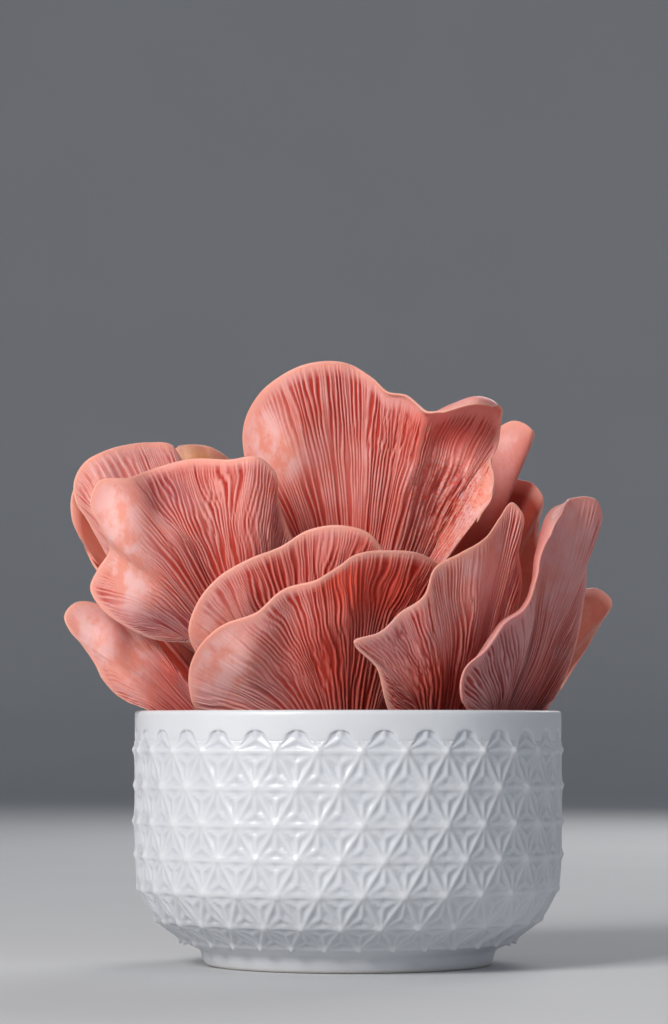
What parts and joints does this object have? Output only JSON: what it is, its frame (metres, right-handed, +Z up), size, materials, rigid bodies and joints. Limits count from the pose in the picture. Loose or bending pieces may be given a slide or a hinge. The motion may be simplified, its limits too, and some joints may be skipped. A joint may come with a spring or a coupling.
{
  "type": "oyster mushroom cluster in a bowl",
  "caption": "Cluster of ruffled pink oyster mushrooms, gills outward, standing in a round white porcelain bowl with a star-lattice relief and a plain rim band.",
  "frame": {"origin": "on the bowl's axis, at the table plane under the foot ring", "axes": "+Z up out of the bowl, -Y towards the front (the side with the lowest, nearest caps), +X to the right seen from the front"},
  "size_m": [0.1584, 0.1213, 0.1689],
  "materials": {
    "porcelain": "gloss",
    "cap_flesh": "matte",
    "butt_flesh": "matte"
  },
  "bodies": {
    "root": {"bowl": "porcelain", "cluster_butt": "butt_flesh", "cap_front": "cap_flesh", "cap_front_back": "cap_flesh", "cap_right_front": "cap_flesh", "cap_right": "cap_flesh", "cap_tall": "cap_flesh", "cap_left_front": "cap_flesh", "cap_left_back": "cap_flesh", "cap_left_low_back": "cap_flesh", "cap_low_left": "cap_flesh", "cap_right_low_back": "cap_flesh", "cap_right_back": "cap_flesh", "cap_back_left": "cap_flesh", "cap_back_right": "cap_flesh", "cap_back": "cap_flesh", "cap_back_left_low": "cap_flesh"}
  },
  "joints": []
}
